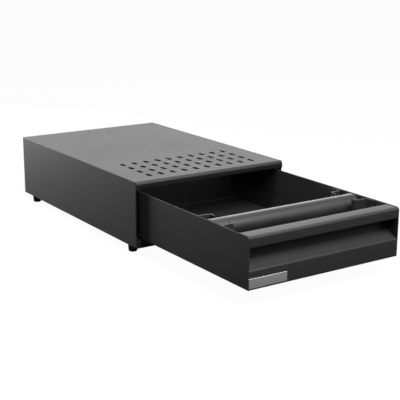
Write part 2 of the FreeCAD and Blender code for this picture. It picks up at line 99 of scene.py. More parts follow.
# shell: the slots as packed and as seen, the top's side edges, and the lip under the front roll
PACKED_SLOT_WIDE = 4.5 * MM
PACKED_SLOT_LONG = 12 * MM
SLOT_WIDE = 6.5 * MM
SLOT_LONG = 14.2 * MM
SLOT_BREAKOUT = 1 * MM
SLOT_PITCH_ACROSS = 19.9 * MM
SLOT_PITCH_BACK = 24.8 * MM
SLOTS_ACROSS = 10
SLOTS_BACK = 4
FIRST_SLOT_BACK = 30.3 * MM
PACKED_EDGE_ROUND = 2 * MM
TOP_EDGE_ROUND = 0.8 * MM
LEAN_FROM = 2.5 * MM
LIP_LEAN = 0.5

# drawer front and tray
GRIP_BAND = 14.6 * MM
GRIP_HEM = 6 * MM
GRIP_ROUND = 3.8 * MM
LOWER_BAND = 24.6 * MM
SLOPE_RISE = 9 * MM
SLOPE_REAR_ROUND = 23 * MM
SLOPE_FRONT_ROUND = 3 * MM
FRONT_FLANGE = 16 * MM
STANDING_FOLD = 0.4 * FOLD_ROUND

# cradles and guide channels
CRADLE_SHEET = 2 * MM
CRADLE_TAB = 13 * MM
CRADLE_SPLAY = 2.2 * MM
CRADLE_BEND = 0.8 * MM
NOTCH_GAP = 0.4 * MM
NOTCH_ROOM = 3.2 * MM
CHANNEL_SHEET = 1.2 * MM

# knock bar
SLEEVE_END_ROUND = 1.5 * MM
ROD_PRESS = 0.01 * MM
ROD_CHAMFER = 1 * MM
CENTRE_MOUTH = 2.4 * MM
CENTRE_DEPTH = 2.4 * MM
CENTRE_PILOT = 1 * MM
CENTRE_STRAIGHT = 0.6 * MM

# feet and buffers, with angles in degrees
FOOT_TAPER = 0.75 * MM
FOOT_DRAFT = 5
FOOT_RIM = 1.5 * MM
FOOT_TOP_EDGE = 0.35 * MM
FOOT_HOLLOW = 0.7 * MM
FOOT_HOLLOW_WIDE = 3.2 * MM
FOOT_STEM = 2.4 * MM
FOOT_BARB = 3 * MM
FOOT_TIP = 1 * MM
FOOT_TIP_FROM = 20
BUFFER_DOME = 2 * MM
BUFFER_EDGE = 0.4 * MM

# plate and spot welds
PLATE_EDGE = 0.3 * MM
PLATE_CORNER = 0.8 * MM
WELD_RADIUS = 3 * MM
WELD_FLAT = 0.03 * MM
WELD_RING = 0.1 * MM
WELD_RING_AT = 0.75 * WELD_RADIUS
WELD_RING_SPREAD = 0.16 * WELD_RADIUS
CRADLE_WELD_INSET = 6 * MM
CRADLE_WELD_INSET_TOP = 1.6 * CRADLE_WELD_INSET
CHANNEL_WELDS = 5
CHANNEL_WELD_INSET = 25 * MM

# numbers of points along bends, rounds and rows
FOLD_STEPS = 12
TRAY_CORNER_STEPS = 10
CRADLE_STEPS = 8
NOTCH_STEPS = 12
ROUND_STEPS = 8
SLEEVE_ROWS = 120
ROD_ROWS = 40
FOOT_RIM_STEPS = 12
DOME_STEPS = 16
BUFFER_EDGE_STEPS = 6
PLATE_EDGE_STEPS = 7
PLATE_CORNER_STEPS = 9
WELD_STEPS = 18

# numbers of points round turned pieces
SLEEVE_SEGMENTS = 128
ROD_SEGMENTS = 96
FOOT_SEGMENTS = 72
BUFFER_SEGMENTS = 64
WELD_SEGMENTS = 40


def new_object(name, data):
    """An object at the origin, in the scene."""
    made = bpy.data.objects.new(name, data)
    bpy.context.scene.collection.objects.link(made)
    return made


def front_edge():
    """The middle of the housing's front edge on its underside."""
    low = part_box("housing_shell")[0]
    return Vector((0, low.y, low.z))


def make_camera():
    """The photograph's camera: turned about the middle of the housing's front edge, then moved
    aside and up in its own picture plane."""
    azimuth = math.radians(CAMERA_AZIMUTH)
    elevation = math.radians(CAMERA_ELEVATION)
    roll = math.radians(CAMERA_ROLL)
    level = math.cos(elevation)
    back = Vector((math.sin(azimuth) * level, -math.cos(azimuth) * level, math.sin(elevation)))
    right = Vector((math.cos(azimuth), math.sin(azimuth), 0))
    up = back.cross(right)
    rolled_right = right * math.cos(roll) + up * math.sin(roll)
    rolled_up = up * math.cos(roll) - right * math.sin(roll)
    data = bpy.data.cameras.new("camera")
    data.lens = CAMERA_FOCAL_PX / IMAGE_WIDTH_PX * SENSOR_MM
    data.sensor_width = SENSOR_MM
    camera = new_object("camera", data)
    place = front_edge() + back * CAMERA_DISTANCE
    place += rolled_right * CAMERA_ASIDE + rolled_up * CAMERA_UP
    turn = Matrix((rolled_right, rolled_up, back)).transposed()
    camera.matrix_world = Matrix.Translation(place) @ turn.to_4x4()
    bpy.context.scene.camera = camera


class Nodes:
    """A node tree with short calls for what the finishes need."""

    def __init__(self, tree):
        """The calls for one tree."""
        self.tree = tree

    def join(self, value, socket):
        """An output of one node led into a socket of another."""
        self.tree.links.new(value, socket)

    def add(self, kind, inputs=None, **settings):
        """A node with its settings, and its inputs as numbers or as outputs of other nodes."""
        node = self.tree.nodes.new(kind)
        for name, value in settings.items():
            setattr(node, name, value)
        for name, value in (inputs or {}).items():
            if isinstance(value, bpy.types.NodeSocket):
                self.join(value, node.inputs[name])
            else:
                node.inputs[name].default_value = value
        return node

    def math(self, operation, first, second):
        """The value of a calculation on two numbers or outputs."""
        return self.add("ShaderNodeMath", {0: first, 1: second}, operation=operation).outputs[0]

    def dot(self, first, second):
        """The dot product of two directions."""
        inputs = {0: first, 1: second}
        return self.add("ShaderNodeVectorMath", inputs, operation="DOT_PRODUCT").outputs["Value"]

    def ramp(self, value, low, high, from_value=0.0, to_value=1.0):
        """A value carried softly from the range low to high into another, and held inside it."""
        inputs = {
            "Value": value, "From Min": low, "From Max": high,
            "To Min": from_value, "To Max": to_value,
        }
        return self.add("ShaderNodeMapRange", inputs, interpolation_type="SMOOTHSTEP").outputs[0]

    def noise(self, place, scale, detail, roughness=0.5):
        """Noise over a place, from 0 to 1."""
        inputs = {"Vector": place, "Scale": scale, "Detail": detail, "Roughness": roughness}
        return self.add("ShaderNodeTexNoise", inputs).outputs[0]

    def mix(self, share, first, second):
        """Two colours mixed by a share: the node's sockets 6 and 7, and its socket 0."""
        inputs = {0: share, 6: first, 7: second}
        return self.add("ShaderNodeMix", inputs, data_type="RGBA").outputs[2]

    def over(self, base, colour, mask, amount):
        """A colour laid over a base where a mask says so, by an amount."""
        return self.mix(self.math("MULTIPLY", mask, amount), base, colour)


def grey(value, warmth=0.0):
    """A linear grey, a little warmer or cooler."""
    return (value * (1 + warmth), value, value * (1 - warmth), 1)


def group(name, inputs, outputs):
    """An empty shader node group: its nodes, its input node and its output node."""
    tree = bpy.data.node_groups.new(name, "ShaderNodeTree")
    for socket, (kind, value) in inputs.items():
        made = tree.interface.new_socket(socket, in_out="INPUT", socket_type=kind)
        if value is not None:
            made.default_value = value
    for socket, kind in outputs.items():
        tree.interface.new_socket(socket, in_out="OUTPUT", socket_type=kind)
    nodes = Nodes(tree)
    return nodes, nodes.add("NodeGroupInput").outputs, nodes.add("NodeGroupOutput").inputs


def make_grain_group():
    """Fine rounded grain of a coat or a moulding, with larger soft waves under it."""
    nodes, given, out = group(
        "fine_grain",
        {
            "Place": ("NodeSocketVector", None),
            "Grain Per Metre": ("NodeSocketFloat", 1600.0),
            "Wave Per Metre": ("NodeSocketFloat", 90.0),
            "Wave Share": ("NodeSocketFloat", 0.5),
        },
        {"Height": "NodeSocketFloat", "Mottle": "NodeSocketFloat"},
    )
    fine = nodes.noise(given["Place"], given["Grain Per Metre"], detail=1.0)
    wave = nodes.noise(given["Place"], given["Wave Per Metre"], detail=3.0, roughness=0.55)
    share = nodes.math("MULTIPLY", wave, given["Wave Share"])
    nodes.join(nodes.math("ADD", fine, share), out["Height"])
    nodes.join(nodes.ramp(wave, low=0.3, high=0.7), out["Mottle"])
    return nodes.tree


def make_edge_group():
    """Mask of the edges, for worn coat and a painted highlight along the rims, and a normal that
    turns softly over each of them.
    """
    nodes, given, out = group(
        "soft_edges",
        {
            "Place": ("NodeSocketVector", None),
            "Radius": ("NodeSocketFloat", 0.5 * MM),
            "Break Up": ("NodeSocketFloat", 60.0),
        },
        {"Wear And Highlight": "NodeSocketFloat", "Normal": "NodeSocketVector"},
    )
    soft = nodes.add("ShaderNodeBevel", {"Radius": given["Radius"]}, samples=6).outputs[0]
    flat = nodes.add("ShaderNodeNewGeometry").outputs["Normal"]
    turned_off = nodes.math("SUBTRACT", 1.0, nodes.dot(soft, flat))
    edge = nodes.ramp(turned_off, low=0.0, high=0.25)
    broken = nodes.noise(given["Place"], given["Break Up"], detail=4.0, roughness=0.6)
    patches = nodes.ramp(broken, low=0.35, high=0.65)
    nodes.join(nodes.math("MULTIPLY", edge, patches), out["Wear And Highlight"])
    nodes.join(soft, out["Normal"])
    return nodes.tree


def make_handling_group():
    """Dust that settles on what faces up, and the soft smears of handling."""
    nodes, given, out = group(
        "handling",
        {
            "Place": ("NodeSocketVector", None),
            "Dust Per Metre": ("NodeSocketFloat", 420.0),
            "Smear Per Metre": ("NodeSocketFloat", 14.0),
        },
        {"Dust": "NodeSocketFloat", "Smears": "NodeSocketFloat"},
    )
    normal = nodes.add("ShaderNodeNewGeometry").outputs["Normal"]
    rise = nodes.add("ShaderNodeSeparateXYZ", {0: normal}).outputs["Z"]
    grains = nodes.noise(given["Place"], given["Dust Per Metre"], detail=5.0, roughness=0.75)
    specks = nodes.ramp(grains, low=0.52, high=0.8)
    dust = nodes.math("MULTIPLY", nodes.ramp(rise, low=0.2, high=1.0), specks)
    wiped = nodes.noise(given["Place"], given["Smear Per Metre"], detail=5.0, roughness=0.62)
    nodes.join(dust, out["Dust"])
    nodes.join(nodes.ramp(wiped, low=0.38, high=0.7), out["Smears"])
    return nodes.tree


def make_brushed_group():
    """Fine parallel strokes: noise stretched along one axis by its own Stretch."""
    nodes, given, out = group(
        "brushed_strokes",
        {
            "Place": ("NodeSocketVector", None),
            "Stretch": ("NodeSocketVector", (60.0, 6000.0, 6000.0)),
            "Cloud Per Metre": ("NodeSocketFloat", 70.0),
        },
        {"Strokes": "NodeSocketFloat", "Clouds": "NodeSocketFloat"},
    )
    inputs = {0: given["Place"], 1: given["Stretch"]}
    drawn = nodes.add("ShaderNodeVectorMath", inputs, operation="MULTIPLY").outputs[0]
    nodes.join(nodes.noise(drawn, 1.0, detail=3.0, roughness=0.6), out["Strokes"])
    clouds = nodes.noise(given["Place"], given["Cloud Per Metre"], detail=3.0)
    nodes.join(clouds, out["Clouds"])
    return nodes.tree


GRAIN = make_grain_group()
EDGES = make_edge_group()
HANDLING = make_handling_group()
BRUSHED = make_brushed_group()


class Finish(Nodes):
    """A material, its shader, and the place on the object that its patterns read."""

    def __init__(self, name):
        """A new material with only its shader and its place."""
        self.material = bpy.data.materials.new(name)
        self.material.use_nodes = True
        super().__init__(self.material.node_tree)
        self.shader = self.tree.nodes["Principled BSDF"]
        self.place = self.add("ShaderNodeTexCoord").outputs["Object"]

    def pattern(self, tree, **values):
        """The outputs of a group that is given its own values here."""
        inputs = {"Place": self.place}
        inputs.update({name.replace("_", " "): value for name, value in values.items()})
        return self.add("ShaderNodeGroup", inputs, node_tree=tree).outputs

    def bump(self, height, normal, distance, strength):
        """A bump of a given depth over a normal."""
        inputs = {
            "Height": height, "Distance": distance, "Strength": strength, "Normal": normal,
        }
        return self.add("ShaderNodeBump", inputs).outputs[0]

    def done(self, colour, rough, normal, **values):
        """The material, once its shader has its colour, roughness, normal and plain values."""
        self.join(colour, self.shader.inputs["Base Color"])
        self.join(rough, self.shader.inputs["Roughness"])
        self.join(normal, self.shader.inputs["Normal"])
        for name, value in values.items():
            self.shader.inputs[name].default_value = value
        return self.material


def coat_material():
    """Black powder coat with a fine grain, duller where handled, and paler on its edges, where
    worn coat and a painted highlight along the rims are laid on together.
    """
    made = Finish("black_powder_coat")
    grain = made.pattern(GRAIN, Grain_Per_Metre=1500.0, Wave_Per_Metre=55.0, Wave_Share=0.15)
    edges = made.pattern(EDGES, Radius=0.22 * MM, Break_Up=45.0)
    handled = made.pattern(HANDLING, Smear_Per_Metre=11.0)
    base = made.mix(grain["Mottle"], grey(0.011), grey(0.013))
    dusty = made.over(base, grey(0.075, 0.03), handled["Dust"], amount=0.1)
    # paler edges: partly worn coat, partly a painted highlight along the rims, broken into patches
    worn_and_highlit = made.over(dusty, grey(0.05), edges["Wear And Highlight"], amount=0.35)
    smeared = made.ramp(handled["Smears"], 0.0, 1.0, from_value=0.63, to_value=0.65)
    duller = made.math("MULTIPLY", handled["Dust"], 0.06)
    rough = made.math("ADD", smeared, duller)
    normal = made.bump(grain["Height"], edges["Normal"], distance=0.02 * MM, strength=0.3)
    return made.done(worn_and_highlit, rough, normal, IOR=1.5)


def sleeve_material():
    """Black rubber of the knock bar, satin, with knock marks and a faint bloom."""
    made = Finish("bar_rubber")
    grain = made.pattern(GRAIN, Grain_Per_Metre=900.0, Wave_Per_Metre=40.0, Wave_Share=1.2)
    edges = made.pattern(EDGES, Radius=0.6 * MM, Break_Up=80.0)
    handled = made.pattern(HANDLING, Smear_Per_Metre=22.0)
    base = made.mix(grain["Mottle"], grey(0.013), grey(0.018))
    bloom = made.over(base, grey(0.04, 0.02), handled["Smears"], amount=0.12)
    rough = made.ramp(handled["Smears"], 0.0, 1.0, from_value=0.46, to_value=0.51)
    normal = made.bump(grain["Height"], edges["Normal"], distance=0.04 * MM, strength=0.25)
    return made.done(bloom, rough, normal, IOR=1.52)


def foot_material():
    """Moulded black rubber of the feet and buffers, dull and a little dusty."""
    made = Finish("foot_rubber")
    grain = made.pattern(GRAIN, Grain_Per_Metre=1800.0, Wave_Per_Metre=150.0, Wave_Share=0.5)
    edges = made.pattern(EDGES, Radius=0.4 * MM, Break_Up=200.0)
    handled = made.pattern(HANDLING, Smear_Per_Metre=60.0)
    base = made.mix(grain["Mottle"], grey(0.014), grey(0.022))
    grimy = made.over(base, grey(0.05, 0.05), handled["Smears"], amount=0.35)
    rough = made.ramp(grain["Mottle"], 0.0, 1.0, from_value=0.3, to_value=0.42)
    normal = made.bump(grain["Height"], edges["Normal"], distance=0.04 * MM, strength=0.3)
    return made.done(grimy, rough, normal)


def brushed_metal(name, colour, tint, stretch, rough_low, rough_high):
    """Bare metal with strokes along one direction, clouded, and softly turned at its edges."""
    made = Finish(name)
    strokes = made.pattern(BRUSHED, Stretch=stretch)
    edges = made.pattern(EDGES, Radius=0.3 * MM, Break_Up=150.0)
    drawn = made.ramp(strokes["Strokes"], low=0.3, high=0.7)
    base = made.mix(drawn, colour, tint)
    clouded = made.over(base, grey(0.5, 0.01), strokes["Clouds"], amount=0.15)
    rough = made.ramp(strokes["Strokes"], 0.25, 0.75, from_value=rough_low, to_value=rough_high)
    normal = made.bump(strokes["Strokes"], edges["Normal"], distance=0.01 * MM, strength=0.4)
    return made.done(clouded, rough, normal, Metallic=1.0)


def zinc_material():
    """Galvanised steel of the guide channels: grey spangles with soft borders."""
    made = Finish("zinc_steel")
    cells = made.add("ShaderNodeTexVoronoi", {"Vector": made.place, "Scale": 160.0}, feature="F1")
    tone = made.add("ShaderNodeSeparateColor", {0: cells.outputs["Color"]}).outputs[0]
    handled = made.pattern(HANDLING, Smear_Per_Metre=30.0)
    edges = made.pattern(EDGES, Radius=0.3 * MM, Break_Up=150.0)
    base = made.mix(tone, (0.42, 0.44, 0.46, 1), (0.56, 0.575, 0.59, 1))
    dull = made.over(base, grey(0.33), handled["Smears"], amount=0.4)
    rough = made.ramp(tone, 0.0, 1.0, from_value=0.34, to_value=0.52)
    normal = made.bump(tone, edges["Normal"], distance=0.01 * MM, strength=0.2)
    return made.done(dull, rough, normal, Metallic=1.0)


def glide_material():
    """Pale hard plastic of the glide strips, polished by the drawer along its length."""
    made = Finish("glide_plastic")
    strokes = made.pattern(BRUSHED, Stretch=(2500.0, 25.0, 2500.0))
    grain = made.pattern(GRAIN, Grain_Per_Metre=1300.0, Wave_Per_Metre=80.0, Wave_Share=0.6)
    edges = made.pattern(EDGES, Radius=0.3 * MM, Break_Up=120.0)
    rubbed = made.ramp(strokes["Strokes"], low=0.45, high=0.75)
    base = made.mix(grain["Mottle"], (0.62, 0.61, 0.57, 1), (0.7, 0.69, 0.66, 1))
    scored = made.over(base, (0.42, 0.41, 0.39, 1), rubbed, amount=0.5)
    rough = made.ramp(rubbed, 0.0, 1.0, from_value=0.42, to_value=0.28)
    normal = made.bump(strokes["Strokes"], edges["Normal"], distance=0.02 * MM, strength=0.3)
    return made.done(scored, rough, normal)


def make_finishes():
    """Every material under the name of the record's slot that it finishes."""
    return {
        "black_coat": coat_material(),
        "bar_rubber": sleeve_material(),
        "foot_rubber": foot_material(),
        "bar_steel": brushed_metal(
            "bar_steel", grey(0.5), grey(0.6), (4000.0, 900.0, 900.0),
            rough_low=0.22, rough_high=0.36,
        ),
        "badge_metal": brushed_metal(
            "badge_metal", grey(0.86), grey(0.95), (45.0, 5000.0, 5000.0),
            rough_low=0.34, rough_high=0.5,
        ),
        "zinc_steel": zinc_material(),
        "glide_plastic": glide_material(),
    }


def dress(piece, finish):
    """The piece in one finish."""
    piece.data.materials.clear()
    piece.data.materials.append(finish)


def place_piece(piece, finishes, slot, body, *nodes):
    """The piece finished, riding on its body, in the stead of the nodes that it stands for."""
    dress(piece, finishes[slot])
    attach(piece, body)
    if nodes:
        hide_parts(*nodes)


def shaded_piece(name, mesh):
    """An object at the origin with its place in its mesh, smooth except across sharp edges."""
    mesh.shade_smooth()
    mesh.set_sharp_from_angle(angle=SMOOTH_ANGLE)
    return new_object(name, mesh)


def mesh_piece(name, points, faces):
    """A piece from points and faces, which are turned outward."""
    mesh = bpy.data.meshes.new(name)
    mesh.from_pydata(points.tolist(), [], faces)
    skin = bmesh.new()
    skin.from_mesh(mesh)
    bmesh.ops.recalc_face_normals(skin, faces=skin.faces)
    skin.to_mesh(mesh)
    skin.free()
    return shaded_piece(name, mesh)


def wall_faces(index):
    """Faces between the rows of a table of point numbers, whose columns run round."""
    beside = np.roll(index, -1, axis=1)
    corners = [index[:-1], beside[:-1], beside[1:], index[1:]]
    return np.stack(corners, axis=-1).reshape(-1, 4).tolist()


def looped_grid(name, points):
    """A closed skin from a grid of points whose rows and columns both run round."""
    rows, columns = points.shape[:2]
    index = np.arange(rows * columns).reshape(rows, columns)
    return mesh_piece(name, points.reshape(-1, 3), wall_faces(np.vstack([index, index[:1]])))


def capped_grid(name, points):
    """A closed skin from a grid of points whose columns run round, with a face over each end."""
    rows, columns = points.shape[:2]
    index = np.arange(rows * columns).reshape(rows, columns)
    caps = [index[0].tolist(), index[-1].tolist()]
    return mesh_piece(name, points.reshape(-1, 3), wall_faces(index) + caps)


def poled_grid(name, points):
    """A closed skin from a grid of points whose columns run round and whose ends are points."""
    rows, columns = points.shape[:2]
    index = 1 + np.arange((rows - 2) * columns).reshape(rows - 2, columns)
    last = np.full(columns, 1 + index.size)
    first = np.zeros(columns, int)
    start = np.stack([first, np.roll(index[0], -1), index[0]], axis=-1)
    end = np.stack([last, index[-1], np.roll(index[-1], -1)], axis=-1)
    kept = np.concatenate([points[0, :1], points[1:-1].reshape(-1, 3), points[-1, :1]])
    return mesh_piece(name, kept, wall_faces(index) + start.tolist() + end.tolist())


def arc(centre, radius, start, end, steps):
    """Points on an arc of a profile: centre plus radius times the cosine and sine of even angles,
    in degrees."""
    angle = np.radians(np.linspace(start, end, steps))
    across = centre[0] + radius * np.cos(angle)
    return np.stack([across, centre[1] + radius * np.sin(angle)], axis=-1)


def profile_points(out, along):
    """Points of a profile from a row of places along and their distances out, or one for all."""
    return np.stack([np.broadcast_to(out, along.shape), along], axis=-1)


def turned(name, profile, middle, axis, segments):
    """A turned piece. A profile point (out, along) at angle t stands at
    middle + along * axis + out * (cos t * side + sin t * other). A profile that starts and
    ends on the axis closes there, and any other is a ring that runs round on itself."""
    profile = np.asarray(profile, float)
    axis = np.array(axis, float)
    upright = abs(axis[2]) > 0.5
    side = np.array([1.0, 0.0, 0.0]) if upright else np.array([0.0, 0.0, 1.0])
    other = np.cross(axis, side)
    angle = np.linspace(0, 2 * math.pi, segments, endpoint=False)
    ring = np.cos(angle)[:, None] * side + np.sin(angle)[:, None] * other
    out, along = profile[:, 0], profile[:, 1]
    points = np.array(middle) + along[:, None, None] * axis + out[:, None, None] * ring[None]
    return poled_grid(name, points) if out[0] == 0 else looped_grid(name, points)


def bent_path(corners, radii, steps):
    """Points along the middle of a sheet and the directions across it. Every corner with a
    radius is an arc that touches both of its runs: it starts at the radius times the tangent of
    half the turn before the corner, and turns at even angles."""
    corners = np.asarray(corners, float)
    runs = np.diff(corners, axis=0)
    heading = np.arctan2(runs[:, 1], runs[:, 0])
    places = [corners[:1]]
    angles = [heading[:1]]
    for corner, radius, before, after in zip(corners[1:-1], radii, heading[:-1], heading[1:]):
        turn = (after - before + math.pi) % (2 * math.pi) - math.pi
        if radius == 0:
            places.append(corner[None])
            angles.append(np.array([before + turn / 2]))
            continue
        ahead = np.array([math.cos(before), math.sin(before)])
        across = np.array([-ahead[1], ahead[0]]) * math.copysign(1, turn)
        start = corner - ahead * radius * math.tan(abs(turn) / 2)
        share = np.linspace(0, 1, steps)
        swept = abs(turn) * share[:, None]
        inward = across * radius * (1 - np.cos(swept))
        places.append(start + inward + ahead * radius * np.sin(swept))
        angles.append(before + turn * share)
    places.append(corners[-1:])
    angles.append(heading[-1:])
    angle = np.concatenate(angles)
    return np.concatenate(places), np.stack([-np.sin(angle), np.cos(angle)], axis=-1)


def sheet_piece(name, path, thick, start, end, frame_axes):
    """Folded sheet: at every point of the path its section is a strip, half the thickness to each
    side, that runs from start to end along the fold. The strip's rims are eased. The axes turn
    the path's two directions and the fold's direction into the model's."""
    middle, across = path
    half = thick / 2
    first = np.broadcast_to(start, len(middle))
    last = np.broadcast_to(end, len(middle))
    corners = [
        (1, first + RIM, 0), (1, last - RIM, 0), (1, last, RIM), (-1, last, RIM),
        (-1, last - RIM, 0), (-1, first + RIM, 0), (-1, first, RIM), (1, first, RIM),
    ]
    loops = []
    for side, along, drawn_in in corners:
        flat = middle + across * side * (half - drawn_in)
        loops.append(np.column_stack([flat, along]))
    points = np.stack(loops, axis=1) @ np.asarray(frame_axes, float)
    return capped_grid(name, points)


def nearest(value, first, pitch, count):
    """The nearest of a row of evenly spaced places."""
    return first + pitch * np.clip(np.round((value - first) / pitch), 0, count - 1)


def opened_slots(x, y, z, low, high):
    """Which points lie on a slot's wall, and their new x and y. Such a point goes out from the
    slot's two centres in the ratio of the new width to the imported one, a little further on the
    underside, where the punch broke through, and the centres go apart to the new length."""
    first_x = -SLOT_PITCH_ACROSS * (SLOTS_ACROSS - 1) / 2
    middle_x = nearest(x, first_x, SLOT_PITCH_ACROSS, SLOTS_ACROSS)
    middle_y = nearest(y, low.y + FIRST_SLOT_BACK, SLOT_PITCH_BACK, SLOTS_BACK)
    across, along = x - middle_x, y - middle_y
    wall = np.abs(across) < PACKED_SLOT_WIDE / 2 + STEP
    wall &= np.abs(along) < PACKED_SLOT_LONG / 2 + STEP
    wall &= z > high.z - SHEET - STEP
    under = np.where(z < high.z - SHEET / 2, 2 * SLOT_BREAKOUT, 0)
    grown = (SLOT_WIDE + under) / PACKED_SLOT_WIDE
    centre = np.sign(along) * (PACKED_SLOT_LONG - PACKED_SLOT_WIDE) / 2
    new_centre = np.sign(along) * (SLOT_LONG - SLOT_WIDE) / 2
    return wall, middle_x + across * grown, middle_y + new_centre + (along - centre) * grown


def leaned_lip(x, y, z, low, high):
    """The new y. A point of the lip goes back by the lean times the square of its depth under
    the roll's middle, divided by that depth and the half roll together."""
    depth = np.maximum(high.z - LEAN_FROM - z, 0)
    drawn_back = LIP_LEAN * depth ** 2 / (depth + LEAN_FROM)
    lip = (y < low.y + SHEET + STEP) & (np.abs(x) < high.x - SHEET + STEP)
    return np.where(lip, y + drawn_back, y)


def sharper_edges(x, z, high):
    """The new x and z. A point on the round of a side edge of the top goes outward by the
    difference of the two radii times one less the cosine of its angle, and up by as much of one
    less the sine, by a share that falls to nothing at the round's inside."""
    out = np.abs(x) - (high.x - PACKED_EDGE_ROUND)
    up = z - (high.z - PACKED_EDGE_ROUND)
    reach = np.maximum(np.hypot(out, up), STEP)
    inner = PACKED_EDGE_ROUND - SHEET
    share = np.clip((reach - inner) / SHEET, 0, 1) * ((out > -STEP) & (up > -STEP))
    spread = share * (PACKED_EDGE_ROUND - TOP_EDGE_ROUND)
    return x + np.sign(x) * spread * (1 - out / reach), z + spread * (1 - up / reach)


def make_shell(finishes):
    """Top and sides as packed, with the slots opened to their full size, the lip leaned inward
    and the top's side edges sharper."""
    mesh = bpy.data.meshes.new("slotted_shell")
    skin = bmesh.new()
    skin.from_mesh(frame["nodes"]["housing_shell"].data)
    bmesh.ops.remove_doubles(skin, verts=skin.verts, dist=SAME_POINT)
    skin.to_mesh(mesh)
    skin.free()
    points = np.empty(3 * len(mesh.vertices))
    mesh.vertices.foreach_get("co", points)
    x, y, z = points.reshape(-1, 3).T
    low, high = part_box("housing_shell")
    wall, slot_x, slot_y = opened_slots(x, y, z, low, high)
    edge_x, new_z = sharper_edges(x, z, high)
    new_x = np.where(wall, slot_x, edge_x)
    new_y = np.where(wall, slot_y, leaned_lip(x, y, z, low, high))
    mesh.vertices.foreach_set("co", np.stack([new_x, new_y, new_z], axis=-1).ravel())
    piece = shaded_piece("slotted_shell", mesh)
    flat = piece.modifiers.new("flat_faces_first", "WEIGHTED_NORMAL")
    flat.keep_sharp = True
    place_piece(piece, finishes, "black_coat", "housing", "housing_shell")


def make_front(finishes):
    """Drawer front, one folded sheet from the hem over the grip and the finger recess to the
    flange under the tray."""
    low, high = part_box("drawer_front")
    half = SHEET / 2
    top = high.z - low.z - half
    rear = high.y - low.y - half
    hem = high.z - low.z - GRIP_BAND + half
    lean = SLOPE_RISE / (rear - half)
    level = LOWER_BAND - half * math.sqrt(1 + lean ** 2)
    tight = FOLD_ROUND - half
    corners = [
        (3 * half, hem + GRIP_HEM), (3 * half, hem), (half, hem), (half, top), (rear, top),
        (rear, level + lean * rear), (half, level + lean * half), (half, half),
        (FRONT_FLANGE, half),
    ]
    radii = [
        half, half, GRIP_ROUND - half, tight, SLOPE_REAR_ROUND, SLOPE_FRONT_ROUND - half, tight,
    ]
    middle, across = bent_path(corners, radii, FOLD_STEPS)
    path = (middle + (low.y, low.z), across)
    axes = [(0, 1, 0), (0, 0, 1), (1, 0, 0)]
    piece = sheet_piece("folded_front", path, SHEET, low.x, high.x, axes)
    place_piece(piece, finishes, "black_coat", "drawer", "drawer_front")


def make_tray(finishes):
    """Drawer floor and sides in one sheet. Towards the front the sides' top corners are
    quarter circles, whose last point lies a rim lower, and the floor stops short of the front's
    flange."""
    low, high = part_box("drawer_tray")
    half = SHEET / 2
    side = high.x - half
    turn = np.linspace(math.pi / 2, 0, TRAY_CORNER_STEPS)
    rise = high.z - GRIP_ROUND + GRIP_ROUND * np.sin(turn)
    rise[0] -= RIM
    corner_front = low.y + GRIP_ROUND * (1 - np.cos(turn))
    left = profile_points(-side, rise)
    right = left[::-1] * (-1, 1)
    floor = [(-side, low.z + half), (side, low.z + half)]
    corners = np.concatenate([left, floor, right])
    plain = [0] * (len(rise) - 1)
    radii = plain + [FOLD_ROUND - half] * len(floor) + plain
    middle, across = bent_path(corners, radii, FOLD_STEPS)
    front = np.full(len(middle), low.y + FRONT_FLANGE)
    front[np.abs(middle[:, 0]) > side - STANDING_FOLD] = low.y
    front[:len(rise)] = corner_front
    front[-len(rise):] = corner_front[::-1]
    axes = [(1, 0, 0), (0, 0, 1), (0, 1, 0)]
    piece = sheet_piece("folded_tray", (middle, across), SHEET, front, high.y, axes)
    place_piece(piece, finishes, "black_coat", "drawer", "drawer_tray")


def make_cradle(finishes, word, inward):
    """Hat shaped sheet with splayed legs. The notch in its web is a quarter circle about the bar,
    a flat that leaves the bar room, and a second quarter circle."""
    node = f"{word}_bar_cradle"
    low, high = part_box(node)
    bar_low, bar_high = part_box("knock_bar_sleeve")
    half = CRADLE_SHEET / 2
    wall = low.x if inward > 0 else high.x
    tab = wall + inward * half
    web = wall + inward * (high.x - low.x - half)
    lean = CRADLE_SPLAY / (high.x - low.x - CRADLE_SHEET)
    step = half * (math.sqrt(1 + lean ** 2) - lean)
    base_front = low.y + CRADLE_TAB + step
    base_rear = high.y - CRADLE_TAB - step
    radius = (bar_high.z - bar_low.z) / 2 + NOTCH_GAP
    bar_y = (bar_low.y + bar_high.y) / 2
    bar_z = (bar_low.z + bar_high.z) / 2
    turn = np.linspace(0, math.pi / 2, NOTCH_STEPS)
    front = bar_y - NOTCH_ROOM - radius * np.cos(turn)
    rear = bar_y + radius * np.cos(turn[::-1])
    cut = np.concatenate([[front[0] - STEP], front, rear, [rear[-1] + STEP]])
    down = bar_z - radius * np.sin(turn)
    floor = np.concatenate([[high.z], down, down[::-1], [high.z]])
    corners = [(tab, low.y), (tab, base_front), (web, base_front + CRADLE_SPLAY)]
    corners += [(web, y) for y in cut]
    corners += [(web, base_rear - CRADLE_SPLAY), (tab, base_rear), (tab, high.y)]
    bends = [CRADLE_BEND + half] * 2
    path = bent_path(corners, bends + [0] * len(cut) + bends, CRADLE_STEPS)
    top = np.full(len(path[0]), high.z)
    first = 1 + len(bends) * CRADLE_STEPS
    top[first:first + len(cut)] = floor
    piece = sheet_piece(f"folded_{node}", path, CRADLE_SHEET, low.z, top, np.eye(3))
    place_piece(piece, finishes, "black_coat", "drawer", node)


